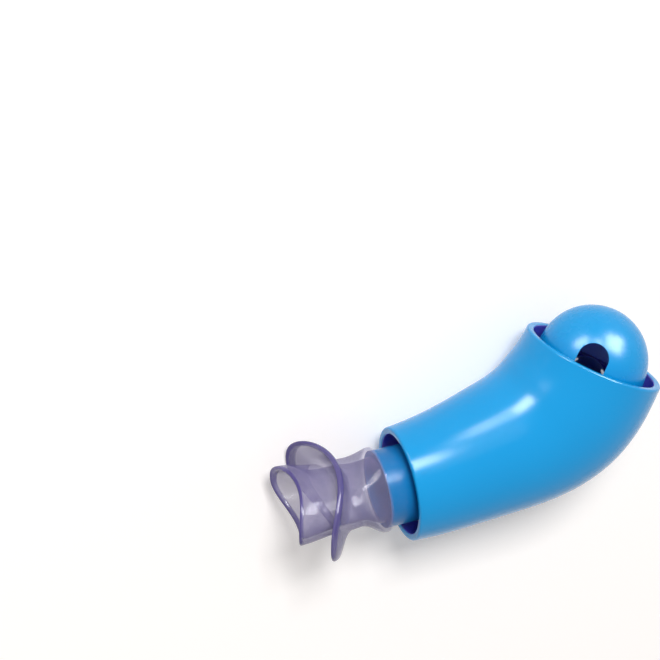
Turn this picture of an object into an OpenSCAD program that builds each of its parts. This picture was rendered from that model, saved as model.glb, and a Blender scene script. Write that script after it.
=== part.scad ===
// Positive expiratory pressure device, lying on its side, in millimetres.
// Each piece is drawn in the device's own frame: the origin is the centre of the shell's narrow
// opening, X runs along the inlet towards the cap, Z points to the inside of the bend.
// The module rest() then lays the device on its side, with Z up and the lowest point at 0.

/* [Shell] */
// Length of the shell along its bent centreline
shell_length = 97.6; // [80:0.1:120]
// Length of the nearly straight run at the inlet
inlet_run = 43.7; // [30:0.1:60]
// Bend of the nearly straight run, in degrees
inlet_bend = 11.7; // [0:0.1:20]
// Bend of the rest of the shell, in degrees
main_bend = 48.9; // [30:0.1:60]
// Outside diameter at the inlet
inlet_d = 45.3; // [44:0.1:50]
// Outside diameter at the widest place
belly_d = 59.1; // [58:0.1:66]
// Outside diameter at the cap end
outlet_d = 57.3; // [56.5:0.1:60]
// Wall thickness of the shell
shell_wall = 2.9; // [2:0.1:3.1]

/* [Air tube] */
// Outside diameter of the tube and its spigot
tube_d = 30.6; // [28:0.1:32]
// Wall thickness of the tube
tube_wall = 2; // [1.2:0.1:3]
// Length of spigot that stands out of the shell
spigot_out = 8.8; // [6:0.1:14]
// Radius of the elbow's centreline
elbow_r = 26; // [22:0.5:28]
// Extra wall round the elbow, inside and outside
bend_extra = 0.2; // [0.1:0.05:0.4]
// Depth of the carrier ring behind the inlet rim
carrier_depth = 7.5; // [6.5:0.1:12]
// Thickness of the carrier ring
carrier_t = 3; // [2:0.1:5]

/* [Ball and seat] */
// Diameter of the steel ball
ball_d = 19; // [17:0.1:20]
// Depth of the ball's centre below the cap end's rim
ball_depth = 11; // [10.5:0.1:12]
// Angle between the cone's wall and its axis, in degrees
cone_angle = 30; // [27:0.5:33]
// Diameter of the throat that the ball closes
throat_d = 10; // [8:0.1:12]
// Wall thickness of the cone
cone_wall = 1.6; // [1.2:0.1:1.8]
// Outside diameter of the cone's rim
cone_rim_d = 37; // [36:0.1:37.6]

/* [Cup] */
// Outside diameter of the cup
cup_d = 40.6; // [40.2:0.1:41]
// Depth of the cup's rim below the cap end's rim
cup_depth = 4.8; // [4.5:0.1:5.2]
// Thickness of the flange that closes the gap to the shell
cup_flange_t = 2.4; // [1.6:0.1:3]
// Length of tube that the cup's socket takes
socket_length = 7; // [5:0.1:8]

/* [Cap] */
// Outside diameter of the dome
dome_d = 44; // [43.6:0.1:45]
// Depth of the dome's centre below the cap end's rim
dome_depth = 2.3; // [2:0.1:3]
// Flare of the skirt under the dome, in degrees
skirt_flare = 8; // [4:0.5:9]
// Wall thickness of the cap
cap_wall = 1.8; // [1.2:0.1:2]
// Depth of the skirt's lower edge below the cap end's rim
skirt_depth = 9.2; // [8.5:0.1:9.5]
// Width of a window
window_w = 12; // [9:0.1:14]
// Height of a window's arch above the cap end's rim
window_top = 8.6; // [7:0.1:10]
// Number of windows
window_n = 3; // [2:1:4]

/* [Mouthpiece] */
// Wall thickness of the collar
collar_wall = 1.6; // [1.2:0.1:2]
// Length of the collar along the spigot
collar_length = 14; // [12:0.1:15]
// Width of the oval tube, outside
bite_w = 32.4; // [30:0.1:34]
// Height of the oval tube, outside
bite_h = 19.4; // [18:0.1:22]
// Wall thickness of the oval tube
bite_wall = 2.2; // [1.6:0.1:2.6]
// Width of the flange, measured along its chord
flange_w = 54; // [48:0.5:58]
// Height of the flange
flange_h = 36; // [32:0.5:40]
// Thickness of the flange
flange_t = 2.8; // [2:0.1:3.4]
// Distance from the inlet rim to the flange
flange_out = 24; // [22:0.1:27]
// Distance from the inlet rim to the lip
lip_out = 41.6; // [39:0.1:46]
// Width of the lip
lip_w = 36.4; // [35:0.1:40]
// Height of the lip
lip_h = 22.8; // [22:0.1:26]
// Radius that flange and lip are bent to, round the teeth
bite_bend_r = 28; // [26:0.5:40]
// Radius that they are bent to from top to bottom
bite_dish_r = 60; // [40:1:90]
// Height of the flange's centre above the spigot's axis
bite_rise = 2.1; // [0:0.1:3]
// Height of the lip's centre above the spigot's axis
lip_rise = 3; // [0:0.1:4]
// Turn of the mouthpiece about the spigot, in degrees
bite_turn = 76; // [60:1:90]

/* [Fits] */
// Gap between the collar and the spigot, on each side
turn_gap = 0.06; // [0.03:0.01:0.1]
// Gap between the cap's socket and the cup, on each side
slide_gap = 0.08; // [0.05:0.01:0.15]
// Gap between pieces that are fixed to each other
seat_gap = 0.1; // [0.05:0.01:0.15]
// Gap between curved or moving faces
free_gap = 0.3; // [0.2:0.05:0.4]

/* [Rest] */
// Rise of the inlet axis towards the cap end, in degrees
rest_pitch = 1.14; // [0:0.01:10]
// Roll about the inlet axis, in degrees
rest_roll = 5.08; // [-20:0.01:20]
// Place of the base's centre along the inlet axis
rest_x = 30.96; // [20:0.01:50]
// Place of the base's centre across the inlet axis
rest_y = 16.65; // [0:0.01:40]
// Height of the inlet's centre above the ground
rest_z = 26.61; // [20:0.01:40]

/* [Hidden] */

$fn = 96;
overrun = 1;
lap = 1;
skirt_inset = 0.05;
shell_sides = 48;
shell_stations = 26;
skin_layers = 6;
lip_steps = 6;
bite_sides = 48;

// How far the shell has swelled from inlet to belly at each quarter of its length
swell_shares = [0, 0.28, 0.67, 1];

// Mouthpiece: fullness of its oval beyond an ellipse, slimness of its waist, curl of its neck,
// thinning of its flange, end of its neck, and the places of its rings
full_share = 0.3;
waist_share = 0.05;
neck_curl_share = 0.3;
flange_taper_share = 0.1;
neck_end_share = 0.75;
neck_shares = [0, 0.15, 0.3, 0.45, 0.6, neck_end_share];
flange_shares = [0.12, 0.3, 0.6, 0.85];
run_shares = [0.15, 0.35, 0.55, 0.75, 0.9];
edge_turns = [0 : 45 : 180];

// Centreline of the shell, in the XZ plane
function smooth(u) = u * u * (3 - 2 * u);
function clamp(u) = max(0, min(1, u));
function heading(s) =
    inlet_bend * (1 - pow(1 - clamp(s / inlet_run), 2))
    + main_bend * smooth(clamp((s - inlet_run) / (shell_length - inlet_run)));
station_step = shell_length / shell_stations;
path = [for (i = 0, p = [0, 0]; i <= shell_stations;
             p = p + station_step * [cos(heading((i + 1/2) * station_step)),
                                     sin(heading((i + 1/2) * station_step))], i = i + 1) p];

// Point of the centreline at a length s, straight on beyond either end
function path_at(s) =
    let (q = max(0, min(shell_length, s)), i = min(shell_stations - 1, floor(q / station_step)),
         f = q / station_step - i, h = heading(q))
    path[i] * (1 - f) + path[i + 1] * f + (s - q) * [cos(h), sin(h)];

// Outside radius of the shell, a smooth curve through five stations
quarter = shell_length / 4;
shell_radii = concat([for (k = swell_shares) inlet_d / 2 + k * (belly_d - inlet_d) / 2],
                     [outlet_d / 2]);
function knot(i) =
    i < 0 ? 2 * shell_radii[0] - shell_radii[1]
    : i > 4 ? 2 * shell_radii[4] - shell_radii[3]
    : shell_radii[i];
function spline(a, b, c, d, f) =
    (2 * b + (c - a) * f + (2 * a - 5 * b + 4 * c - d) * f * f
     + (3 * b - a - 3 * c + d) * f * f * f) / 2;
function shell_r(s) =
    let (u = max(0, min(shell_length, s)) / quarter, i = min(3, floor(u)))
    spline(knot(i - 1), knot(i), knot(i + 1), knot(i + 2), u - i);

// The cap's axis, through the centre of the shell's wide opening
cap_end = path[shell_stations];
cap_heading = heading(shell_length);
apex_x = cap_end[0] - cap_end[1] / tan(cap_heading);
apex_depth = cap_end[1] / sin(cap_heading);
elbow_leg = elbow_r * tan(cap_heading / 2);
elbow_x = apex_x - elbow_leg;
elbow_depth = apex_depth - elbow_leg;

tube_r = tube_d / 2;
tube_bore_r = tube_r - tube_wall;
ball_r = ball_d / 2;
cup_r = cup_d / 2;
cup_wall = (cup_d - cone_rim_d) / 2 - seat_gap;
cup_flange_depth = skirt_depth + free_gap;

module rest() {
    translate([-rest_x, -rest_y, rest_z])
        rotate([rest_roll, -rest_pitch, 0])
        rotate([-90, 0, 0])
        children();
}

module on_inlet() {
    rotate([0, 90, 0]) children();
}

module on_cap() {
    translate([cap_end[0], 0, cap_end[1]])
        rotate([0, 90 - cap_heading, 0])
        children();
}

// A closed surface through rings of equal point counts; the last ring joins the first
module skin(rings) {
    m = len(rings[0]);
    n = len(rings);
    faces = [for (i = [0 : n - 1], j = [0 : m - 1])
        let (k = (j + 1) % m, r = (i + 1) % n)
        each [[i * m + j, r * m + k, r * m + j], [i * m + j, i * m + k, r * m + k]]];
    polyhedron([for (r = rings) each r], faces, convexity = skin_layers);
}

// A ring of the shell at a length s along the centreline
function shell_ring(s, r) =
    let (p = path_at(s), h = heading(s))
    [for (j = [0 : shell_sides - 1])
        let (a = 360 * j / shell_sides)
        [p[0] - r * cos(a) * sin(h), r * sin(a), p[1] + r * cos(a) * cos(h)]];

// Half turn of the rounded rim at one end: side is 1 at the cap end and -1 at the inlet
function rim_rings(side) =
    let (w = shell_wall / 2, s0 = side > 0 ? shell_length - w : w)
    [for (i = [1 : lip_steps - 1])
        let (a = 180 * i / lip_steps, t = side > 0 ? a : 180 - a)
        shell_ring(s0 + side * w * sin(a), shell_r(s0) - w + w * cos(t))];

module outer_shell() {
    w = shell_wall / 2;
    span = shell_length - 2 * w;
    stations = [for (i = [0 : shell_stations]) w + span * i / shell_stations];
    outside = [for (s = stations) shell_ring(s, shell_r(s))];
    inside = [for (i = [shell_stations : -1 : 0])
        shell_ring(stations[i], shell_r(stations[i]) - shell_wall)];
    color("deepskyblue")
        rest() skin(concat(outside, rim_rings(1), inside, rim_rings(-1)));
}

// Ring that centres the air tube in the inlet and closes the gap
module tube_carrier() {
    middle = carrier_depth + carrier_t / 2;
    reach = shell_r(carrier_depth) - shell_wall - free_gap;
    color("darkslateblue")
        rest() on_inlet() difference() {
            translate([-path_at(middle)[1], 0, carrier_depth])
                cylinder(h = carrier_t, r = reach);
            cylinder(h = carrier_depth + carrier_t + overrun, r = tube_r + seat_gap);
        }
}

// A bent round bar: straight from x_start, an elbow of its own radius, then straight to the cap
module bent_bar(r, bend_r, x_start, top_depth) {
    translate([x_start, 0, 0]) on_inlet() cylinder(h = elbow_x + lap - x_start, r = r);
    translate([elbow_x, 0, elbow_r])
        rotate([90, 0, 0])
        rotate([0, 0, -90])
        rotate_extrude(angle = cap_heading)
        translate([elbow_r, 0]) circle(r = bend_r);
    on_cap() translate([0, 0, -elbow_depth - lap])
        cylinder(h = elbow_depth + lap - top_depth, r = r);
}

module air_tube() {
    top_depth = elbow_depth - socket_length;
    color("dodgerblue")
        rest() difference() {
            bent_bar(tube_r, tube_r + bend_extra, -spigot_out, top_depth);
            bent_bar(tube_bore_r, tube_bore_r - bend_extra, -spigot_out - overrun,
                     top_depth - overrun);
        }
}

// How far the shell's centreline lies to the side of the cap's axis, at a depth under the rim
function side_step(depth) =
    let (d = path_at(shell_length - depth) - cap_end)
    d[0] * sin(cap_heading) - d[1] * cos(cap_heading);

// Cup: socket over the tube's end, widening body, seat for the cone and flange to the shell
module ball_cup() {
    color("dodgerblue")
        rest() on_cap() {
            cup_body();
            cup_flange();
        }
}

module cup_body() {
    socket_r = tube_r + seat_gap;
    socket_top = elbow_depth - socket_length - seat_gap;
    ledge_r = cone_rim_d / 2 - cup_wall;
    ledge_depth = cup_depth + cone_wall + seat_gap;
    body_bottom = socket_top - (ledge_r - tube_bore_r);
    rotate_extrude()
        polygon([
            [socket_r, -elbow_depth],
            [socket_r + cup_wall, -elbow_depth],
            [socket_r + cup_wall, -socket_top],
            [cup_r, -body_bottom],
            [cup_r, -cup_depth],
            [cone_rim_d / 2 + seat_gap, -cup_depth],
            [cone_rim_d / 2 + seat_gap, -ledge_depth],
            [ledge_r, -ledge_depth],
            [ledge_r, -body_bottom],
            [tube_bore_r, -socket_top],
            [socket_r, -socket_top],
        ]);
}

// The flange follows the shell's wall, so it is a little off the cap's axis
module cup_flange() {
    bottom = cup_flange_depth + cup_flange_t;
    middle = cup_flange_depth + cup_flange_t / 2;
    reach = shell_r(shell_length - middle) - shell_wall - free_gap;
    difference() {
        translate([side_step(middle), 0, -bottom]) cylinder(h = cup_flange_t, r = reach);
        translate([0, 0, -bottom - overrun])
            cylinder(h = cup_flange_t + 2 * overrun, r = cup_r - cup_wall / 2);
    }
}

// Cone: the ball's circle of contact lies where the wall touches it
module seat_cone() {
    slope = tan(cone_angle);
    contact_r = (ball_r + free_gap) * cos(cone_angle);
    contact_depth = ball_depth + (ball_r + free_gap) * sin(cone_angle);
    throat_r = throat_d / 2;
    throat_depth = contact_depth + (contact_r - throat_r) / slope;
    rim_depth = cup_depth;
    rim_bottom = rim_depth + cone_wall;
    skew = cone_wall / cos(cone_angle);
    color("midnightblue")
        rest() on_cap()
        rotate_extrude()
        polygon([
            [throat_r, -throat_depth],
            [throat_r + skew, -throat_depth],
            [throat_r + skew + (throat_depth - rim_bottom) * slope, -rim_bottom],
            [cone_rim_d / 2, -rim_bottom],
            [cone_rim_d / 2, -rim_depth],
            [throat_r + (throat_depth - rim_depth) * slope, -rim_depth],
        ]);
}

module steel_ball() {
    color("silver")
        rest() on_cap() translate([0, 0, -ball_depth]) sphere(r = ball_r);
}

// Half outline of a dome of radius r whose skirt runs down to bottom, flared by skirt_flare
module dome_outline(r, bottom) {
    touch_r = (r - skirt_inset) * cos(skirt_flare);
    touch_z = (r - skirt_inset) * sin(skirt_flare) - dome_depth;
    intersection() {
        translate([0, -dome_depth]) circle(r = r);
        translate([0, touch_z - 2 * lap]) square([r, r + 2 * lap]);
    }
    polygon([[0, bottom], [touch_r + (touch_z - bottom) * tan(skirt_flare), bottom],
             [touch_r, touch_z], [0, touch_z]]);
}

// Cap: a dome on a flared skirt, with a socket that slides over the cup's rim
module cap() {
    dome_r = dome_d / 2;
    stop_depth = cup_depth - free_gap;
    color("deepskyblue")
        rest() on_cap() difference() {
            rotate([0, 0, 180 / window_n]) rotate_extrude() difference() {
                dome_outline(dome_r, -skirt_depth);
                intersection() {
                    translate([0, -dome_depth]) circle(r = dome_r - cap_wall);
                    translate([0, -stop_depth - overrun])
                        square([dome_r, dome_r + stop_depth + overrun]);
                }
                translate([0, -skirt_depth - overrun])
                    square([cup_r + slide_gap, skirt_depth + overrun - stop_depth]);
            }
            for (k = [0 : window_n - 1])
                rotate([0, 0, 360 * k / window_n]) window();
        }
}

// One arched opening through the cap's wall, down to the stop above the cup's rim
module window() {
    arch_z = window_top - window_w / 2;
    sill_z = -cup_depth + 2 * free_gap;
    rotate([90, 0, 90]) linear_extrude(height = dome_d) {
        translate([0, arch_z]) circle(d = window_w);
        translate([-window_w / 2, sill_z]) square([window_w, arch_z - sill_z]);
    }
}

// A ring of the mouthpiece: half width a, half height b, curl from 0 flat to 1 bent and dished,
// and oval from 0 for a round ring to 1 for a full oval; rise is its height above the axis
function bite_ring(x, a, b, curl, oval, rise) =
    let (e = 2 / (2 + oval * full_share))
    [for (j = [0 : bite_sides - 1])
        let (t = 360 * j / bite_sides, c = cos(t), s = sin(t),
             across = a * sign(c) * pow(abs(c), e),
             high = b * sign(s) * pow(abs(s), e),
             up = high + rise,
             bend = across * across / (2 * bite_bend_r) + high * high / (2 * bite_dish_r))
        [x - curl * bend, across * sin(bite_turn) - up * cos(bite_turn),
            across * cos(bite_turn) + up * sin(bite_turn)]];

// The neck from the round collar to the oval, drawn in by wall on its inside
function neck_ring(u, start_r, wall) =
    let (k = smooth(u / neck_end_share), waist = 1 - waist_share * sin(180 * u / neck_end_share))
    bite_ring(-spigot_out - turn_gap - collar_wall / 2 - u * (flange_out - spigot_out),
              (start_r * (1 - k) + bite_w / 2 * k) * waist - wall,
              (start_r * (1 - k) + bite_h / 2 * k) * waist - wall,
              neck_curl_share * k * u, k, k * bite_rise);

// The oval tube at a share u of the way from the flange to the lip
function run_ring(u, wall) =
    let (k = smooth(u), start = flange_out + flange_t / 2)
    bite_ring(-start - u * (lip_out - bite_wall / 2 - start),
              bite_w / 2 + (lip_w - bite_w) / 2 * k - wall,
              bite_h / 2 + (lip_h - bite_h) / 2 * k - wall,
              1, 1, bite_rise + (lip_rise - bite_rise) * k);

// The flange at a share u of the way from the oval tube to its edge: side is 1 for its back
function flange_ring(u, side) =
    let (half = flange_t / 2)
    bite_ring(-flange_out + side * half * (1 - u * flange_taper_share),
              bite_w / 2 + ((flange_w - bite_w) / 2 - half) * u,
              bite_h / 2 + ((flange_h - bite_h) / 2 - half) * u, 1, 1, bite_rise);

// The rounded edges of the flange and the lip, at a turn of 0 to 180 degrees
function flange_edge_ring(turn) =
    let (half = flange_t / 2)
    bite_ring(-flange_out + half * cos(turn), flange_w / 2 - half + half * sin(turn),
              flange_h / 2 - half + half * sin(turn), 1, 1, bite_rise);

function lip_edge_ring(turn) =
    let (half = bite_wall / 2)
    bite_ring(-lip_out + half - half * sin(turn), lip_w / 2 - half + half * cos(turn),
              lip_h / 2 - half + half * cos(turn), 1, 1, lip_rise);

// Outside of the mouthpiece from the collar to the lip, then inside back to the collar
module bite_body() {
    collar_r = tube_r + collar_wall;
    outside = concat(
        [for (u = neck_shares) neck_ring(u, collar_r, 0)],
        [for (u = flange_shares) flange_ring(u, 1)],
        [for (turn = edge_turns) flange_edge_ring(turn)],
        [for (i = [len(flange_shares) - 1 : -1 : 0]) flange_ring(flange_shares[i], -1)],
        [for (u = run_shares) run_ring(u, 0)],
        [for (turn = edge_turns) lip_edge_ring(turn)]);
    inside = concat(
        [for (i = [len(run_shares) - 1 : -1 : 0]) run_ring(run_shares[i], bite_wall)],
        [for (i = [len(neck_shares) - 1 : -1 : 0])
            neck_ring(neck_shares[i], tube_bore_r - turn_gap + bite_wall, bite_wall)]);
    skin(concat(outside, inside));
}

module mouthpiece() {
    collar_r = tube_r + turn_gap + collar_wall;
    stop_x = -spigot_out - turn_gap;
    color([0.75, 0.7, 0.85, 0.5])
        rest() {
            bite_body();
            difference() {
                translate([stop_x - collar_wall, 0, 0]) on_inlet()
                    cylinder(h = collar_length + collar_wall, r = collar_r);
                translate([stop_x, 0, 0]) on_inlet()
                    cylinder(h = collar_length + overrun, r = tube_r + turn_gap);
                translate([stop_x - collar_wall - overrun, 0, 0]) on_inlet()
                    cylinder(h = collar_wall + 2 * overrun, r = tube_bore_r);
            }
        }
}

outer_shell();
tube_carrier();
air_tube();
ball_cup();
seat_cone();
steel_ball();
cap();
mouthpiece();
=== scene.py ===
"""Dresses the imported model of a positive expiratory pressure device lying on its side.

The lengths in the classes are millimetres in the device's own frame: the origin is the centre
of the shell's narrow opening, X runs along the inlet towards the cap, and Z points to the
inside of the bend. Rest turns them into the row frame in metres. The finishes, the lamps and
the camera are in metres in the row frame from the start.
"""

import logging
import math
from dataclasses import dataclass, field
from enum import Enum
from typing import Callable, Sequence

import bmesh
import bpy
from mathutils import Matrix, Vector

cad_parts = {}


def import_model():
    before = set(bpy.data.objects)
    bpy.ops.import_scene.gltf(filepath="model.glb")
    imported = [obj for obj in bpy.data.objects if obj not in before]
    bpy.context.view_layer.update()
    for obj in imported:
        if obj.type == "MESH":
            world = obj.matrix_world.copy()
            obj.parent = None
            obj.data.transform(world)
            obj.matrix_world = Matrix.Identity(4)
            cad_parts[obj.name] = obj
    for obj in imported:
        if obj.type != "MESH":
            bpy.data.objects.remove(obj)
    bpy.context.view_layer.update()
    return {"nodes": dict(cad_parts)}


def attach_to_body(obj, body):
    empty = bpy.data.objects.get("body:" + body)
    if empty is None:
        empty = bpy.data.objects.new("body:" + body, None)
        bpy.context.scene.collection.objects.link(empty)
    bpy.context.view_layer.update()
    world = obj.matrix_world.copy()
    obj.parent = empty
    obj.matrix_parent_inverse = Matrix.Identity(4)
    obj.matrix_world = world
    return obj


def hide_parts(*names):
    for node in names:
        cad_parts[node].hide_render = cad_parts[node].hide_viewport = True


logging.basicConfig(level=logging.INFO, format="%(message)s")
LOG = logging.getLogger("dressing")

MM = 0.001
MERGE_DISTANCE = 1e-7
NOISE_MIDDLE = 0.5
BEAD = "bead"


def eased(share: float) -> float:
    """Returns a share from 0 to 1 with a soft start and end."""
    return share * share * (3 - 2 * share)


@dataclass(frozen=True)
class Rest:
    """How the device lies on the table."""

    pitch: float = 1.14
    roll: float = 5.08
    x: float = 30.96
    y: float = 16.65
    z: float = 26.61

    def matrix(self) -> Matrix:
        """Returns the matrix from the device's frame in millimetres to the row frame in metres."""
        turn = (
            Matrix.Rotation(math.radians(-self.pitch), 4, "Y")
            @ Matrix.Rotation(math.radians(self.roll), 4, "X")
            @ Matrix.Rotation(math.radians(-90), 4, "X")
        )
        return Matrix.Scale(MM, 4) @ Matrix.Translation((-self.x, -self.y, self.z)) @ turn


REST = Rest()


@dataclass(frozen=True)
class Centreline:
    """The bent centreline of the shell, in the device's XZ plane."""

    length: float = 97.6
    inlet_run: float = 43.7
    inlet_bend: float = 11.7
    main_bend: float = 48.9
    stations: int = 104

    def heading(self, s: float) -> float:
        """Direction of the centreline.

        Args:
            s: length along it from the narrow opening.

        Returns:
            The heading in radians from X towards Z.
        """
        near = min(1.0, max(0.0, s / self.inlet_run))
        far = min(1.0, max(0.0, (s - self.inlet_run) / (self.length - self.inlet_run)))
        turned = self.inlet_bend * (1 - (1 - near) ** 2)
        return math.radians(turned + self.main_bend * eased(far))

    def points(self) -> list[Vector]:
        """Returns the points of the centreline from the narrow opening to the wide one."""
        step = self.length / self.stations
        spot = Vector((0.0, 0.0, 0.0))
        made = [spot.copy()]
        for i in range(self.stations):
            angle = self.heading((i + 0.5) * step)
            spot = spot + step * Vector((math.cos(angle), 0.0, math.sin(angle)))
            made.append(spot.copy())
        return made

    def cap_frame(self) -> Matrix:
        """Returns the matrix of the cap's frame, whose Z is the cap's axis, in the device's."""
        turn = Matrix.Rotation(math.radians(90) - self.heading(self.length), 4, "Y")
        return Matrix.Translation(self.points()[-1]) @ turn


LINE = Centreline()


class Socket:
    """A value or a link in a material, with Python's own operators as Math nodes."""

    def __init__(self, tree: bpy.types.NodeTree, source: object) -> None:
        """Keeps the tree and the output socket or number."""
        self.tree = tree
        self.source = source

    def _math(self, operation: str, *values: object) -> "Socket":
        """Adds one Math node.

        Args:
            operation: the Math node's operation.
            values: its inputs, as Sockets or numbers.

        Returns:
            The node's result.
        """
        node = self.tree.nodes.new("ShaderNodeMath")
        node.operation = operation
        for i, value in enumerate(values):
            join(self.tree, value, node.inputs[i])
        return Socket(self.tree, node.outputs[0])

    def __add__(self, other: object) -> "Socket":
        """Sum."""
        return self._math("ADD", self, other)

    __radd__ = __add__

    def __mul__(self, other: object) -> "Socket":
        """Product."""
        return self._math("MULTIPLY", self, other)

    __rmul__ = __mul__

    def __sub__(self, other: object) -> "Socket":
        """Difference."""
        return self._math("SUBTRACT", self, other)

    def __rsub__(self, other: object) -> "Socket":
        """Difference from a number."""
        return self._math("SUBTRACT", other, self)

    def clamped(self) -> "Socket":
        """Returns the value held between 0 and 1."""
        return self._math("MINIMUM", self._math("MAXIMUM", self, 0.0), 1.0)

    def swing(self, reach: float) -> "Socket":
        """Returns a noise as an offset about zero, reach from end to end."""
        return (self - NOISE_MIDDLE) * reach


def join(tree: bpy.types.NodeTree, value: object, target: bpy.types.NodeSocket) -> None:
    """Links a Socket to an input, or sets the input to a plain value.

    Args:
        tree: the tree of both.
        value: a Socket, a number, a vector or a material.
        target: the input.
    """
    if isinstance(value, Socket):
        value = value.source
    if isinstance(value, bpy.types.NodeSocket):
        tree.links.new(value, target)
    else:
        target.default_value = value


def add_node(tree: bpy.types.NodeTree, kind: str, settings: dict[str, object] | None,
             sockets: dict[str, object]) -> bpy.types.Node:
    """Adds a node to a tree.

    Args:
        tree: the tree.
        kind: the node's full type.
        settings: attributes that are set first.
        sockets: values or links by input name, with underscores for spaces.

    Returns:
        The node.
    """
    made = tree.nodes.new(kind)
    for key, value in (settings or {}).items():
        setattr(made, key, value)
    for key, value in sockets.items():
        join(tree, value, made.inputs[key.replace("_", " ")])
    return made


def shown_share(tree: bpy.types.NodeTree) -> Socket:
    """Returns 1 for rays from the camera, a gloss or a clear wall, and 0 for the others."""
    path = tree.nodes.new("ShaderNodeLightPath")
    seen, glossy, through = (Socket(tree, path.outputs[name]) for name in
                             ("Is Camera Ray", "Is Glossy Ray", "Is Transmission Ray"))
    return (seen + glossy + through).clamped()


class Shader:
    """A material whose nodes come from one method."""

    def __init__(self, name: str) -> None:
        """Makes an empty material of that name."""
        self.material = bpy.data.materials.new(name)
        self.material.use_nodes = True
        self.tree = self.material.node_tree
        self.tree.nodes.clear()

    def node(self, kind: str, settings: dict[str, object] | None = None,
             **sockets: object) -> bpy.types.Node:
        """Adds a node by its type without the ShaderNode prefix."""
        return add_node(self.tree, "ShaderNode" + kind, settings, sockets)

    def place(self) -> Socket:
        """Returns the Object coordinates."""
        return Socket(self.tree, self.node("TexCoord").outputs["Object"])

    def noise(self, scale: float, detail: float = 2.0) -> Socket:
        """Returns a noise of so many cells a metre."""
        made = self.node("TexNoise", Vector=self.place(), Scale=scale, Detail=detail)
        return Socket(self.tree, made.outputs["Fac"])

    def blend(self, factor: object, first: Sequence[float], second: Sequence[float]) -> Socket:
        """Returns a colour between two colours."""
        mix = self.tree.nodes.new("ShaderNodeMix")
        mix.data_type = "RGBA"
        join(self.tree, factor, mix.inputs["Factor"])
        colours = [s for s in mix.inputs if s.type == "RGBA"]
        join(self.tree, (*first, 1.0), colours[0])
        join(self.tree, (*second, 1.0), colours[1])
        return Socket(self.tree, next(s for s in mix.outputs if s.type == "RGBA"))

    def bump(self, height: Socket, strength: float, distance: float) -> Socket:
        """Returns a normal raised by a height."""
        made = self.node("Bump", Height=height, Strength=strength, Distance=distance)
        return Socket(self.tree, made.outputs[0])

    def surface(self, shader: bpy.types.NodeSocket) -> bpy.types.Material:
        """Links the shader to the output and returns the material."""
        output = self.node("OutputMaterial")
        self.tree.links.new(shader, output.inputs["Surface"])
        return self.material


@dataclass(frozen=True)
class MouldedPlastic:
    """Smooth injection-moulded plastic with a faint flow in its colour and gloss."""

    name: str
    colour: tuple[float, float, float]
    shade: tuple[float, float, float]
    roughness: float = 0.2
    roughness_reach: float = 0.07
    ior: float = 1.49
    specular: float = 0.3
    flow_scale: float = 28.0
    gloss_scale: float = 168.0
    grain_scale: float = 2600.0
    grain_detail: float = 1.0
    grain_height: float = 0.000006
    grain_strength: float = 0.25

    def build(self) -> bpy.types.Material:
        """Returns the material."""
        shader = Shader(self.name)
        flow = shader.noise(self.flow_scale)
        gloss = shader.noise(self.gloss_scale)
        grain = shader.noise(self.grain_scale, self.grain_detail)
        surface = shader.node(
            "BsdfPrincipled",
            Base_Color=shader.blend(flow, self.shade, self.colour),
            Roughness=gloss.swing(self.roughness_reach) + self.roughness,
            IOR=self.ior, Specular_IOR_Level=self.specular,
            Normal=shader.bump(grain, self.grain_strength, self.grain_height),
        )
        return shader.surface(surface.outputs[0])


@dataclass(frozen=True)
class ClearLilac:
    """Clear tinted plastic: darker at its thick edges and where it is seen along its wall."""

    name: str = "clear_lilac"
    body: tuple[float, float, float] = (0.37, 0.335, 0.55)
    rim: tuple[float, float, float] = (0.075, 0.055, 0.25)
    face_alpha: float = 0.19
    bead_share: float = 0.8
    rim_alpha: float = 0.66
    rim_blend: float = 0.46
    collar_clear: float = 0.96
    collar_start: float = -0.0405
    collar_fade: float = 0.0012
    roughness: float = 0.12
    ior: float = 1.5
    specular: float = 0.3
    coat: float = 0.1
    coat_roughness: float = 0.05
    cloud_scale: float = 45.0
    cloud_alpha_reach: float = 0.12
    cloud_roughness_reach: float = 0.08
    ripple_scale: float = 300.0
    ripple_height: float = 0.00004
    ripple_strength: float = 0.15

    def build(self) -> bpy.types.Material:
        """Returns the material."""
        shader = Shader(self.name)
        cloud = shader.noise(self.cloud_scale)
        ripple = shader.noise(self.ripple_scale)
        slant = shader.node("LayerWeight", Blend=self.rim_blend)
        thick = shader.node("Attribute", {"attribute_name": BEAD})
        spot = shader.node("SeparateXYZ", Vector=shader.place())
        along = Socket(shader.tree, spot.outputs["X"]) - self.collar_start
        collar = (along * (1 / self.collar_fade)).clamped() * self.collar_clear
        bead = Socket(shader.tree, thick.outputs["Fac"]) * self.bead_share
        edge = (Socket(shader.tree, slant.outputs["Facing"]) + bead).clamped()
        depth = edge * self.rim_alpha + self.face_alpha + cloud.swing(self.cloud_alpha_reach)
        surface = shader.node(
            "BsdfPrincipled",
            Base_Color=shader.blend(edge, self.body, self.rim),
            Roughness=cloud.swing(self.cloud_roughness_reach) + self.roughness,
            IOR=self.ior, Specular_IOR_Level=self.specular,
            Coat_Weight=self.coat, Coat_Roughness=self.coat_roughness,
            Alpha=(depth * (1 - collar)).clamped(),
            Normal=shader.bump(ripple, self.ripple_strength, self.ripple_height),
        )
        return shader.surface(surface.outputs[0])


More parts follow.
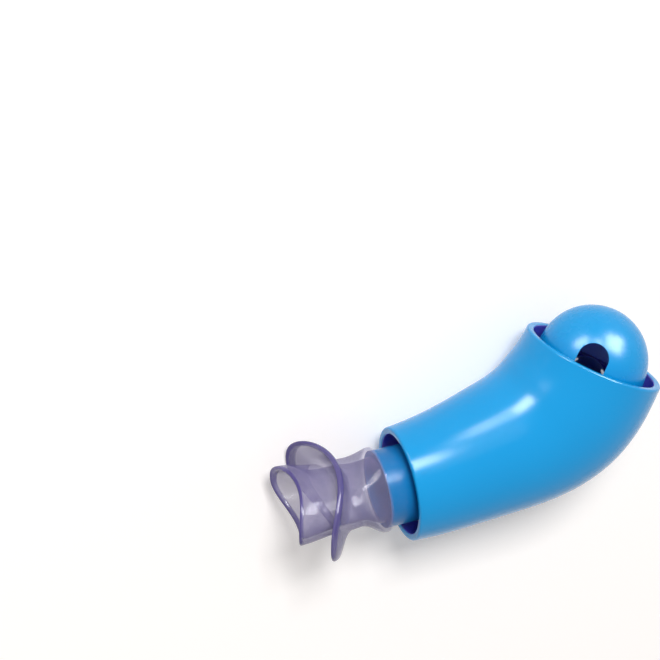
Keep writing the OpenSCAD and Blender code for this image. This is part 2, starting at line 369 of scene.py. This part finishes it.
@dataclass(frozen=True)
class PolishedSteel:
    """Polished bearing steel with faint rolling marks."""

    name: str = "ball_steel"
    colour: tuple[float, float, float] = (0.34, 0.34, 0.37)
    shade_share: float = 0.85
    roughness: float = 0.12
    roughness_reach: float = 0.08
    marks_scale: float = 900.0

    def build(self) -> bpy.types.Material:
        """Returns the material."""
        shader = Shader(self.name)
        marks = shader.noise(self.marks_scale)
        shade = [share * self.shade_share for share in self.colour]
        surface = shader.node(
            "BsdfPrincipled",
            Base_Color=shader.blend(marks, self.colour, shade),
            Roughness=marks.swing(self.roughness_reach) + self.roughness,
            Metallic=1.0,
        )
        return shader.surface(surface.outputs[0])


class Finish(Enum):
    """The finishes of the device's pieces; the inner walls and the inner pieces carry painted
    shade.
    """

    SHELL = MouldedPlastic("shell_blue", (0.0, 0.335, 0.745), (0.0, 0.315, 0.71))
    # Painted shade: the shell's inner wall is the same blue plastic, coloured dark violet for the
    # shade inside it.
    INNER_SHADE = MouldedPlastic("inner_painted_shade", (0.075, 0.08, 0.55), (0.06, 0.065, 0.50), 0.3)
    CAP = MouldedPlastic("cap_blue", (0.0, 0.335, 0.745), (0.0, 0.315, 0.71), 0.27)
    # Painted shade and painted light: the cap's inner wall is the same blue plastic, tinted violet
    # for its shade and lightened for the little light that reaches it.
    CAP_INNER_SHADE = MouldedPlastic("cap_inner_painted_shade", (0.30, 0.45, 0.95), (0.26, 0.40, 0.92), 0.3)
    TUBE = MouldedPlastic("tube_blue", (0.0, 0.21, 0.53), (0.0, 0.17, 0.46), 0.24)
    # Painted shade: the tube carrier, the seat cone and the ball cup are coloured dark navy and
    # violet for the shade inside the shell.
    NAVY_SHADE = MouldedPlastic("carrier_navy", (0.055, 0.050, 0.36), (0.045, 0.040, 0.31), 0.32)
    CUP_SHADE = MouldedPlastic("cup_painted_shade", (0.060, 0.062, 0.42), (0.050, 0.052, 0.37), 0.32)
    LILAC = ClearLilac()
    STEEL = PolishedSteel()


def new_object(name: str, mesh: bpy.types.Mesh) -> bpy.types.Object:
    """Links a new object of a mesh into the scene and returns it."""
    made = bpy.data.objects.new(name, mesh)
    bpy.context.scene.collection.objects.link(made)
    return made


def settled(piece: bpy.types.Object) -> bpy.types.Object:
    """Turns a piece with live modifiers into a plain mesh.

    Args:
        piece: the object; its modifiers are taken away.

    Returns:
        The same object.
    """
    graph = bpy.context.evaluated_depsgraph_get()
    mesh = bpy.data.meshes.new_from_object(piece.evaluated_get(graph))
    piece.modifiers.clear()
    piece.data = mesh
    return piece


def smooth_by_angle(mesh: bpy.types.Mesh, degrees: float) -> None:
    """Shades a mesh smooth and keeps its edges sharper than an angle sharp."""
    for face in mesh.polygons:
        face.use_smooth = True
    mesh.set_sharp_from_angle(angle=math.radians(degrees))


def recalculate_normals(mesh: bpy.types.Mesh, merge: bool = False) -> None:
    """Recalculates a mesh's normals.

    Args:
        mesh: the mesh.
        merge: whether points that coincide are merged first.
    """
    shape = bmesh.new()
    shape.from_mesh(mesh)
    if merge:
        bmesh.ops.remove_doubles(shape, verts=shape.verts, dist=MERGE_DISTANCE)
    bmesh.ops.recalc_face_normals(shape, faces=shape.faces)
    shape.to_mesh(mesh)
    shape.free()


def ring_mesh(name: str, rings: Sequence[Sequence[Vector]],
              beads: Sequence[float]) -> bpy.types.Mesh:
    """Joins rings of equal counts into a closed surface whose last ring meets the first.

    Args:
        name: the mesh's name.
        rings: the rings in order.
        beads: 1 for each ring of a thick edge and 0 for the others, kept as an attribute.

    Returns:
        The mesh, in the row frame.
    """
    count = len(rings[0])
    total = len(rings)
    faces = []
    for i in range(total):
        for j in range(count):
            k, r = (j + 1) % count, (i + 1) % total
            faces.append((i * count + j, r * count + j, r * count + k, i * count + k))
    mesh = bpy.data.meshes.new(name)
    mesh.from_pydata([p for ring in rings for p in ring], [], faces)
    shares = mesh.attributes.new(BEAD, "FLOAT", "POINT")
    shares.data.foreach_set("value", [bead for bead in beads for _ in range(count)])
    mesh.transform(REST.matrix())
    recalculate_normals(mesh, merge=True)
    return mesh


def revolved(name: str, outline: Sequence[tuple[float, float]],
             sides: int) -> bpy.types.Mesh:
    """Turns a half outline round the Z axis.

    Args:
        name: the mesh's name.
        outline: radius and height of its points; the first and the last lie on the axis.
        sides: the number of steps round.

    Returns:
        The closed mesh.
    """
    verts = [Vector((0, 0, outline[0][1])), Vector((0, 0, outline[-1][1]))]
    rings = []
    for r, z in outline[1:-1]:
        rings.append([len(verts) + j for j in range(sides)])
        for j in range(sides):
            a = 2 * math.pi * (j + 0.5) / sides
            verts.append(Vector((r * math.cos(a), r * math.sin(a), z)))
    faces = []
    for j in range(sides):
        k = (j + 1) % sides
        faces.append((0, rings[0][j], rings[0][k]))
        faces.append((1, rings[-1][k], rings[-1][j]))
        faces += [(one[j], two[j], two[k], one[k]) for one, two in zip(rings, rings[1:])]
    mesh = bpy.data.meshes.new(name)
    mesh.from_pydata(verts, [], faces)
    return mesh


class NodeTreeBuilder:
    """A Geometry Nodes tree with named inputs."""

    def __init__(self, name: str) -> None:
        """Makes a tree with a geometry input and output."""
        self.tree = bpy.data.node_groups.new(name, "GeometryNodeTree")
        face = self.tree.interface
        face.new_socket("Geometry", in_out="INPUT", socket_type="NodeSocketGeometry")
        face.new_socket("Geometry", in_out="OUTPUT", socket_type="NodeSocketGeometry")
        self.identifiers: dict[str, str] = {}

    def add_input(self, name: str, kind: str) -> None:
        """Adds a named input of a socket type."""
        made = self.tree.interface.new_socket(name, in_out="INPUT", socket_type=kind)
        self.identifiers[name] = made.identifier

    def node(self, kind: str, settings: dict[str, object] | None = None,
             **sockets: object) -> bpy.types.Node:
        """Adds a node by its full type."""
        return add_node(self.tree, kind, settings, sockets)

    def run(self, piece: bpy.types.Object, values: dict[str, object]) -> bpy.types.Object:
        """Runs the tree on an object and keeps the result as a plain mesh.

        Args:
            piece: the object.
            values: the inputs by name.

        Returns:
            The same object.
        """
        modifier = piece.modifiers.new("tree", "NODES")
        modifier.node_group = self.tree
        for name, value in values.items():
            modifier[self.identifiers[name]] = value
        return settled(piece)


@dataclass
class Shell:
    """The curved, flared outer shell: a circle swept along the bent centreline."""

    inlet_d: float = 45.3
    belly_d: float = 59.1
    outlet_d: float = 57.3
    wall: float = 2.9
    swell_shares: tuple[float, ...] = (0.0, 0.28, 0.67, 1.0)
    sides: int = 128
    rim_segments: int = 8
    rim_share: float = 0.46
    rim_angle: float = 60.0
    crease_angle: float = 50.0
    sampled_faces: int = 24

    def radius(self, s: float) -> float:
        """Outside radius of the shell.

        Args:
            s: length along the centreline.

        Returns:
            The radius, a smooth curve through five stations.
        """
        grow = (self.belly_d - self.inlet_d) / 2
        knots = [self.inlet_d / 2 + share * grow for share in self.swell_shares]
        knots.append(self.outlet_d / 2)
        spans = len(knots) - 1
        knots.insert(0, 2 * knots[0] - knots[1])
        knots.append(2 * knots[-1] - knots[-2])
        place = min(spans, max(0.0, spans * s / LINE.length))
        i = min(spans - 1, int(place))
        f = place - i
        a, b, c, d = knots[i:i + 4]
        cubic = (3 * b - a - 3 * c + d) * f ** 3
        return (2 * b + (c - a) * f + (2 * a - 5 * b + 4 * c - d) * f * f + cubic) / 2

    def sweep_tree(self) -> NodeTreeBuilder:
        """Returns the tree that sweeps a circle along the line it is given."""
        made = NodeTreeBuilder("shell_sweep")
        made.add_input("Sides", "NodeSocketInt")
        made.add_input("Finish", "NodeSocketMaterial")
        start = made.node("NodeGroupInput")
        line = made.node("GeometryNodeMeshToCurve", Mesh=start.outputs["Geometry"])
        girth = made.node("GeometryNodeInputNamedAttribute", {"data_type": "FLOAT"},
                          Name="girth")
        sized = made.node("GeometryNodeSetCurveRadius", Curve=line.outputs[0],
                          Radius=girth.outputs[0])
        ring = made.node("GeometryNodeCurvePrimitiveCircle",
                         Resolution=start.outputs["Sides"], Radius=1.0)
        radius = made.node("GeometryNodeInputRadius")
        swept = made.node("GeometryNodeCurveToMesh", Curve=sized.outputs[0],
                          Profile_Curve=ring.outputs[0], Scale=radius.outputs[0])
        real = made.node("GeometryNodeRealizeInstances", Geometry=swept.outputs[0])
        dressed = made.node("GeometryNodeSetMaterial", Geometry=real.outputs[0],
                            Material=start.outputs["Finish"])
        made.node("NodeGroupOutput", Geometry=dressed.outputs[0])
        return made

    def build(self, finish: bpy.types.Material, inner: bpy.types.Material) -> bpy.types.Object:
        """Makes the shell.

        Args:
            finish: the material outside and on the rims.
            inner: the painted shade material of the inner wall.

        Returns:
            The piece.
        """
        points = LINE.points()
        line = bpy.data.meshes.new("shell_line")
        line.from_pydata(points, [(i, i + 1) for i in range(len(points) - 1)], [])
        girth = line.attributes.new("girth", "FLOAT", "POINT")
        step = LINE.length / LINE.stations
        girth.data.foreach_set("value", [self.radius(i * step) for i in range(len(points))])
        piece = new_object("shell", line)
        self.sweep_tree().run(piece, {"Sides": self.sides, "Finish": finish})
        piece.data.transform(REST.matrix())
        piece.data.materials.clear()
        piece.data.materials.append(finish)
        piece.data.materials.append(inner)
        recalculate_normals(piece.data)
        if self.faces_inwards(piece.data):
            piece.data.flip_normals()
        solid = piece.modifiers.new("wall", "SOLIDIFY")
        solid.thickness = self.wall * MM
        solid.offset = -1
        # The inner wall takes the second material, its painted shade.
        solid.material_offset = 1
        rim = piece.modifiers.new("rim", "BEVEL")
        rim.width = self.wall * MM * self.rim_share
        rim.segments = self.rim_segments
        rim.limit_method = "ANGLE"
        rim.angle_limit = math.radians(self.rim_angle)
        settled(piece)
        smooth_by_angle(piece.data, self.crease_angle)
        return piece

    def faces_inwards(self, mesh: bpy.types.Mesh) -> bool:
        """Says whether the open tube's normals point to its inside."""
        middle = REST.matrix() @ LINE.points()[LINE.stations // 2]
        nearest = sorted(mesh.polygons, key=lambda face: (face.center - middle).length)
        sample = nearest[:self.sampled_faces]
        return sum((face.center - middle).dot(face.normal) for face in sample) < 0


@dataclass
class Mouthpiece:
    """The clear mouthpiece: collar, neck, bent flange and lip in one moulding."""

    tube_r: float = 15.3
    bore_r: float = 13.3
    spigot_out: float = 8.8
    gap: float = 0.06
    collar_wall: float = 1.6
    collar_length: float = 14.0
    bite_w: float = 32.4
    bite_h: float = 19.4
    bite_wall: float = 2.2
    flange_w: float = 54.0
    flange_h: float = 36.0
    flange_t: float = 2.8
    flange_out: float = 24.0
    lip_out: float = 41.6
    lip_w: float = 36.4
    lip_h: float = 22.8
    bend_r: float = 28.0
    dish_r: float = 60.0
    bite_rise: float = 2.1
    lip_rise: float = 3.0
    turn: float = 76.0
    full_share: float = 0.3
    waist_share: float = 0.05
    neck_curl_share: float = 0.3
    flange_taper_share: float = 0.1
    neck_end_share: float = 0.75
    flange_shares: tuple[float, ...] = (0.04, 0.1, 0.2, 0.35, 0.5, 0.65, 0.8, 0.92)
    fillet_share: float = 1.4
    fillet_power: int = 6
    edge_share: float = 0.9
    crease_angle: float = 55.0
    sides: int = 128
    edge_steps: int = 10
    neck_steps: int = 16
    run_steps: int = 14
    collar_steps: int = 5

    def ring(self, x: float, a: float, b: float, curl: float, oval: float,
             rise: float) -> list[Vector]:
        """One ring of the moulding.

        Args:
            x: place along the inlet's axis.
            a: half width.
            b: half height.
            curl: 0 for flat, 1 for bent and dished.
            oval: 0 for round, 1 for the full oval.
            rise: height of its centre above the axis.

        Returns:
            The ring's points.
        """
        power = 2 / (2 + oval * self.full_share)
        turn = math.radians(self.turn)
        made = []
        for j in range(self.sides):
            t = 2 * math.pi * j / self.sides
            c, s = math.cos(t), math.sin(t)
            across = a * math.copysign(abs(c) ** power, c)
            high = b * math.copysign(abs(s) ** power, s)
            bend = across ** 2 / (2 * self.bend_r) + high ** 2 / (2 * self.dish_r)
            up = high + rise
            made.append(Vector((x - curl * bend,
                                across * math.sin(turn) - up * math.cos(turn),
                                across * math.cos(turn) + up * math.sin(turn))))
        return made

    def neck(self, share: float, start_r: float, wall: float) -> list[Vector]:
        """A ring of the neck, from the round collar to the oval."""
        smooth = min(1.0, share / self.neck_end_share)
        k = eased(smooth)
        waist = 1 - self.waist_share * math.sin(math.pi * smooth)
        x = -self.spigot_out - self.gap - self.collar_wall / 2
        return self.ring(x - share * (self.flange_out - self.spigot_out),
                         (start_r * (1 - k) + self.bite_w / 2 * k) * waist - wall,
                         (start_r * (1 - k) + self.bite_h / 2 * k) * waist - wall,
                         self.neck_curl_share * k * share, k, k * self.bite_rise)

    def run(self, share: float, wall: float) -> list[Vector]:
        """A ring of the oval tube, from the flange to the lip."""
        k = eased(share)
        start = self.flange_out + self.flange_t / 2
        return self.ring(-start - share * (self.lip_out - self.bite_wall / 2 - start),
                         self.bite_w / 2 + (self.lip_w - self.bite_w) / 2 * k - wall,
                         self.bite_h / 2 + (self.lip_h - self.bite_h) / 2 * k - wall,
                         1, 1, self.bite_rise + (self.lip_rise - self.bite_rise) * k)

    def flange(self, share: float, side: int) -> list[Vector]:
        """A ring of the flange's back, where side is 1, or front, where it is -1."""
        half = self.flange_t / 2
        fillet = 1 + self.fillet_share * (1 - share) ** self.fillet_power
        out = side * half * (fillet - share * self.flange_taper_share)
        return self.ring(-self.flange_out + out,
                         self.bite_w / 2 + ((self.flange_w - self.bite_w) / 2 - half) * share,
                         self.bite_h / 2 + ((self.flange_h - self.bite_h) / 2 - half) * share,
                         1, 1, self.bite_rise)

    def flange_edge(self, angle: float) -> list[Vector]:
        """A ring of the flange's rounded edge."""
        half = self.flange_t / 2
        return self.ring(-self.flange_out + half * self.edge_share * math.cos(angle),
                         self.flange_w / 2 - half + half * math.sin(angle),
                         self.flange_h / 2 - half + half * math.sin(angle), 1, 1, self.bite_rise)

    def lip_edge(self, angle: float) -> list[Vector]:
        """A ring of the lip's rounded edge."""
        half = self.bite_wall / 2
        return self.ring(-self.lip_out + half - half * math.sin(angle),
                         self.lip_w / 2 - half + half * math.cos(angle),
                         self.lip_h / 2 - half + half * math.cos(angle), 1, 1, self.lip_rise)

    def collar(self) -> tuple[list[list[Vector]], list[list[Vector]]]:
        """Returns the rings inside the collar, from the neck, and those outside, to the neck."""
        inner_r = self.tube_r + self.gap
        outer_r = inner_r + self.collar_wall
        stop = -self.spigot_out - self.gap
        end = stop + self.collar_length
        half = self.collar_wall / 2
        inside = [(stop, self.bore_r), (stop, inner_r)]
        for i in range(1, self.collar_steps + 1):
            inside.append((stop + (end - half - stop) * i / self.collar_steps, inner_r))
        for i in range(1, self.edge_steps):
            angle = math.pi * i / self.edge_steps
            inside.append((end - half + half * math.sin(angle),
                           inner_r + half - half * math.cos(angle)))
        outside = []
        for i in range(self.collar_steps + 1):
            outside.append((end - half + (stop - end + half) * i / self.collar_steps, outer_r))
        return ([self.ring(x, r, r, 0, 0, 0) for x, r in inside],
                [self.ring(x, r, r, 0, 0, 0) for x, r in outside])

    def build(self, finish: bpy.types.Material) -> bpy.types.Object:
        """Makes the mouthpiece in its finish and returns it."""
        inside_collar, outside_collar = self.collar()
        necks = [self.neck_end_share * i / self.neck_steps for i in range(1, self.neck_steps + 1)]
        turns = [math.pi * i / self.edge_steps for i in range(self.edge_steps + 1)]
        runs = [(i + 0.5) / self.run_steps for i in range(self.run_steps)]
        outer_r = self.tube_r + self.gap + self.collar_wall
        hole_r = self.bore_r - self.gap + self.bite_wall
        stretches = [
            (outside_collar, 0),
            ([self.neck(u, outer_r, 0) for u in necks], 0),
            ([self.flange(u, 1) for u in self.flange_shares], 0),
            ([self.flange_edge(t) for t in turns], 1),
            ([self.flange(u, -1) for u in reversed(self.flange_shares)], 0),
            ([self.run(u, 0) for u in runs[1:]], 0),
            ([self.lip_edge(t) for t in turns], 1),
            ([self.run(u, self.bite_wall) for u in reversed(runs)], 0),
            ([self.neck(u, hole_r, self.bite_wall) for u in reversed(necks)], 0),
            (inside_collar, 0),
        ]
        rings = [ring for stretch, _ in stretches for ring in stretch]
        beads = [bead for stretch, bead in stretches for _ in stretch]
        piece = new_object("mouthpiece_moulding", ring_mesh("mouthpiece_moulding", rings, beads))
        piece.data.materials.append(finish)
        smooth_by_angle(piece.data, self.crease_angle)
        return piece


@dataclass
class Cap:
    """The dome on its flared skirt, with arched windows."""

    dome_d: float = 44.0
    dome_depth: float = 2.3
    skirt_flare: float = 8.0
    wall: float = 1.8
    skirt_depth: float = 9.2
    socket_r: float = 20.38
    stop_depth: float = 4.5
    window_w: float = 12.0
    window_top: float = 8.6
    window_n: int = 3
    sill_z: float = -4.2
    window_turn: float = -4.5
    sides: int = 180
    dome_steps: int = 40
    arch_steps: int = 32
    edge_round: float = 0.45
    edge_segments: int = 3
    edge_angle: float = 40.0
    crease_angle: float = 35.0

    def outline(self) -> list[tuple[float, float]]:
        """Returns the closed half outline as radius and height, from the crown outside round."""
        flare = math.radians(self.skirt_flare)
        r = self.dome_d / 2
        made = []
        for i in range(self.dome_steps + 1):
            a = math.radians(90) + (flare - math.radians(90)) * i / self.dome_steps
            made.append((r * math.cos(a), r * math.sin(a) - self.dome_depth))
        touch_r, touch_z = made[-1]
        low_r = touch_r + (touch_z + self.skirt_depth) * math.tan(flare)
        made.append((low_r, -self.skirt_depth))
        made.append((self.socket_r, -self.skirt_depth))
        made.append((self.socket_r, -self.stop_depth))
        inner = r - self.wall
        low = math.asin((self.dome_depth - self.stop_depth) / inner)
        for i in range(self.dome_steps + 1):
            a = low + (math.radians(90) - low) * i / self.dome_steps
            made.append((inner * math.cos(a), inner * math.sin(a) - self.dome_depth))
        return made

    def window_cutter(self, index: int) -> bpy.types.Object:
        """Returns the solid that cuts one window."""
        half = self.window_w / 2
        arch_z = self.window_top - half
        turns = [math.pi * i / self.arch_steps for i in range(self.arch_steps + 1)]
        points = [(half * math.cos(t), arch_z + half * math.sin(t)) for t in turns]
        points += [(-half, self.sill_z), (half, self.sill_z)]
        near, far = self.dome_d / 4, self.dome_d
        count = len(points)
        verts = [Vector((x, y, z)) for x in (near, far) for y, z in points]
        faces = [tuple(range(count)), tuple(range(2 * count - 1, count - 1, -1))]
        faces += [(j, j + count, (j + 1) % count + count, (j + 1) % count) for j in range(count)]
        mesh = bpy.data.meshes.new("window_cutter")
        mesh.from_pydata(verts, [], faces)
        around = math.radians(self.window_turn) + 2 * math.pi * index / self.window_n
        mesh.transform(Matrix.Rotation(around, 4, "Z"))
        recalculate_normals(mesh)
        return new_object("window_cutter", mesh)

    def build(self, finish: bpy.types.Material, inner: bpy.types.Material) -> bpy.types.Object:
        """Makes the cap.

        Args:
            finish: the material outside.
            inner: the painted shade material inside.

        Returns:
            The piece.
        """
        mesh = revolved("cap_moulding", self.outline(), self.sides)
        piece = new_object("cap_moulding", mesh)
        mesh.materials.append(finish)
        mesh.materials.append(inner)
        cutters = [self.window_cutter(i) for i in range(self.window_n)]
        for cutter in cutters:
            cut = piece.modifiers.new("window", "BOOLEAN")
            cut.operation = "DIFFERENCE"
            cut.solver = "MANIFOLD"
            cut.object = cutter
        edge = piece.modifiers.new("edge", "BEVEL")
        edge.width = self.edge_round
        edge.segments = self.edge_segments
        edge.limit_method = "ANGLE"
        edge.angle_limit = math.radians(self.edge_angle)
        settled(piece)
        for cutter in cutters:
            bpy.data.objects.remove(cutter)
        piece.data.transform(REST.matrix() @ LINE.cap_frame())
        self.paint_shade_inside(piece.data)
        smooth_by_angle(piece.data, self.crease_angle)
        return piece

    def paint_shade_inside(self, mesh: bpy.types.Mesh) -> None:
        """Gives the faces that look at the cap's axis the inner material, its painted shade and
        painted light.
        """
        to_cap = (REST.matrix() @ LINE.cap_frame()).inverted()
        centre = Vector((0, 0, -self.dome_depth))
        inner = self.dome_d / 2 - self.wall / 2
        for face in mesh.polygons:
            spot = to_cap @ face.center
            high = spot.z > -self.dome_depth
            reach = (spot - centre).length if high else spot.xy.length
            face.material_index = 1 if reach < inner else 0


@dataclass(frozen=True)
class Lamp:
    """A rectangular lamp that looks at the device, with its angles in degrees."""

    name: str
    azimuth: float
    elevation: float
    size: tuple[float, float]
    watts: float
    spin: float = 0.0
    distance: float = 0.9
    on_matt: bool = True
    in_gloss: bool = True

    def build(self, centre: Vector) -> None:
        """Adds the lamp to the scene, looking at a centre."""
        data = bpy.data.lights.new(self.name, "AREA")
        data.shape = "RECTANGLE"
        data.size, data.size_y = self.size
        data.energy = self.watts
        made = bpy.data.objects.new(self.name, data)
        made.visible_diffuse = self.on_matt
        made.visible_glossy = self.in_gloss
        around, high = math.radians(self.azimuth), math.radians(self.elevation)
        flat = math.cos(high)
        away = Vector((flat * math.cos(around), flat * math.sin(around), math.sin(high)))
        turn = away.to_track_quat("Z", "Y").to_matrix().to_4x4()
        made.matrix_world = (Matrix.Translation(centre + away * self.distance) @ turn
                             @ Matrix.Rotation(math.radians(self.spin), 4, "Z"))
        bpy.context.scene.collection.objects.link(made)


class Lighting(Enum):
    """The lamps: one lights the device, the others are seen in its gloss alone."""

    KEY = Lamp("key", 95, 53, (0.56, 0.56), 29.5, distance=2.0, in_gloss=False)
    INLET_STREAK = Lamp("inlet_streak", 86, 36, (0.17, 0.26), 4.1, on_matt=False)
    BELLY_STREAK = Lamp("belly_streak", 116, 17, (0.44, 0.25), 9.6, -12, on_matt=False)
    DOME_SPOT = Lamp("dome_spot", 48, 34, (0.5, 0.5), 23.0, on_matt=False)


@dataclass
class Studio:
    """The pale floor, the soft lamps and the camera at the photograph's view."""

    camera_place: Vector = field(default_factory=lambda: Vector((-0.24396, 0.29429, 0.63259)))
    camera_aim: Vector = field(default_factory=lambda: Vector((-0.05289, 0.05414, 0.03)))
    camera_roll: float = -131.837
    lens: float = 99.49
    sensor: float = 36.0
    near_clip: float = 0.01
    floor_side: float = 6.0
    floor_colour: tuple[float, float, float] = (0.93, 0.90, 0.88)
    floor_shade_share: float = 0.995
    floor_cloud_scale: float = 3.0
    floor_glow: tuple[float, float, float] = (1.0, 0.95, 0.91)
    floor_lift: float = 0.21
    world_strength: float = 0.36
    lit_centre: Vector = field(default_factory=lambda: Vector((0, 0, 0.03)))

    def camera(self) -> None:
        """Makes the camera and sets it as the scene's."""
        look = (self.camera_aim - self.camera_place).normalized()
        upright = (Vector((0, 0, 1)) - look * look.z).normalized()
        side = look.cross(upright)
        roll = math.radians(self.camera_roll)
        up = upright * math.cos(roll) + side * math.sin(roll)
        right = look.cross(up)
        turn = Matrix((right, up, -look)).transposed().to_4x4()
        data = bpy.data.cameras.new("camera")
        data.lens = self.lens
        data.sensor_width = self.sensor
        data.clip_start = self.near_clip
        made = bpy.data.objects.new("camera", data)
        made.matrix_world = Matrix.Translation(self.camera_place) @ turn
        bpy.context.scene.collection.objects.link(made)
        bpy.context.scene.camera = made

    def floor(self) -> None:
        """Makes the floor, white to the camera and still shaded by the device."""
        shader = Shader("floor_paper")
        cloud = shader.noise(self.floor_cloud_scale)
        shade = [share * self.floor_shade_share for share in self.floor_colour]
        paper = shader.node("BsdfDiffuse", Color=shader.blend(cloud, self.floor_colour, shade))
        glow = shader.node("Emission", Color=(*self.floor_glow, 1.0),
                           Strength=shown_share(shader.tree) * self.floor_lift)
        both = shader.node("AddShader")
        shader.tree.links.new(paper.outputs[0], both.inputs[0])
        shader.tree.links.new(glow.outputs[0], both.inputs[1])
        half = self.floor_side / 2
        mesh = bpy.data.meshes.new("floor")
        mesh.from_pydata([(-half, -half, 0), (half, -half, 0), (half, half, 0), (-half, half, 0)],
                         [], [(0, 1, 2, 3)])
        made = new_object("floor", mesh)
        mesh.materials.append(shader.surface(both.outputs[0]))

    def world(self) -> None:
        """Sets the pale world, white to the camera, in a gloss and through a clear wall."""
        world = bpy.data.worlds.new("studio")
        world.use_nodes = True
        tree = world.node_tree
        background = tree.nodes["Background"]
        strength = shown_share(tree) * (1 - self.world_strength) + self.world_strength
        join(tree, strength, background.inputs["Strength"])
        background.inputs["Color"].default_value = (1.0, 1.0, 1.0, 1.0)
        bpy.context.scene.world = world

    def build(self) -> None:
        """Makes the whole studio."""
        self.camera()
        self.floor()
        self.world()
        for lamp in Lighting:
            lamp.value.build(self.lit_centre)
        bpy.context.scene.view_settings.view_transform = "Standard"


def dress_nodes(nodes: dict[str, bpy.types.Object],
                finishes: dict[Finish, bpy.types.Material]) -> None:
    """Gives the CAD nodes that stay shown their finishes.

    Args:
        nodes: the frame's nodes by name.
        finishes: the built materials.
    """
    # The tube carrier, the ball cup and the seat cone take the painted shade finishes.
    dressed = {"air_tube": Finish.TUBE, "tube_carrier": Finish.NAVY_SHADE, "ball_cup": Finish.CUP_SHADE,
               "seat_cone": Finish.NAVY_SHADE, "steel_ball": Finish.STEEL}
    for name, finish in dressed.items():
        mesh = nodes[name].data
        mesh.materials.clear()
        mesh.materials.append(finishes[finish])
        LOG.info("dressed %s", name)


def attach(piece: bpy.types.Object, body: str, node: str) -> None:
    """Rides a piece on a body in place of a CAD node.

    Args:
        piece: the piece.
        body: the body it moves with.
        node: the CAD node it stands for.
    """
    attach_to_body(piece, body)
    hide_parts(node)
    LOG.info("%s: %d faces on %s", piece.name, len(piece.data.polygons), body)


def main() -> None:
    """Builds the scene in order."""
    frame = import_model()
    Studio().build()
    finishes = {finish: finish.value.build() for finish in Finish}
    dress_nodes(frame["nodes"], finishes)
    builders: list[tuple[Callable[[], bpy.types.Object], str, str, str]] = [
        (lambda: Shell().build(finishes[Finish.SHELL], finishes[Finish.INNER_SHADE]),
         "body", "outer_shell", "shell_blue"),
        (lambda: Cap().build(finishes[Finish.CAP], finishes[Finish.CAP_INNER_SHADE]),
         "cap", "cap", "cap_blue"),
        (lambda: Mouthpiece().build(finishes[Finish.LILAC]),
         "mouthpiece", "mouthpiece", "mouthpiece_clear"),
    ]
    for build, body, node, slot in builders:
        attach(build(), body, node)


if __name__ == "__main__":
    main()
